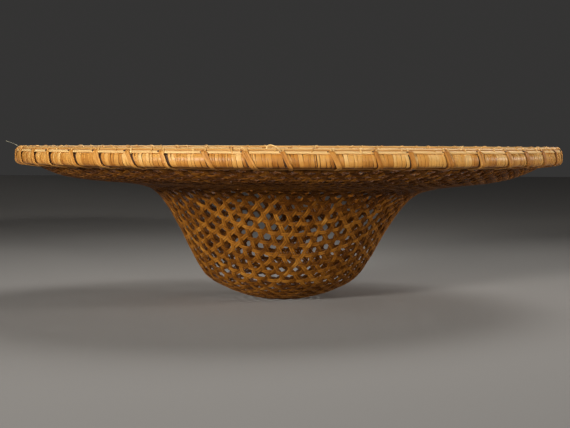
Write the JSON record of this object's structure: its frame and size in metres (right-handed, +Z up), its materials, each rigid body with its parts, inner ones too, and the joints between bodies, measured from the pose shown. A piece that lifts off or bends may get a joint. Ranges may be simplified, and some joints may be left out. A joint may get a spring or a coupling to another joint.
{
  "type": "rattan hat",
  "caption": "Wide rattan hat in open six-sided cane weave, lying on its rounded crown with the brim up, its rim wound with split cane and laced.",
  "frame": {"origin": "on the surface that the hat lies on, under the centre of the rim; the crown leans a little from there towards -X", "axes": "+Z up, out of the open hollow for the head, square to the rim; -Y towards the side that the picture shows; +X to the right in the picture"},
  "size_m": [0.461, 0.461, 0.1308],
  "materials": {
    "crown_weave": "split cane with its smooth skin, golden brown, dull satin",
    "brim_weave": "split cane with its smooth skin, brown, dull satin",
    "rim_binding": "pale honey cane wound side by side, satin",
    "capping_cane": "pale straw cane, satin",
    "rim_lacing": "orange brown cane, satin"
  },
  "bodies": {
    "root": {"crown": "crown_weave", "brim": "brim_weave", "rim_binding": "rim_binding", "capping_cane": "capping_cane", "rim_lacing": "rim_lacing"}
  },
  "joints": []
}
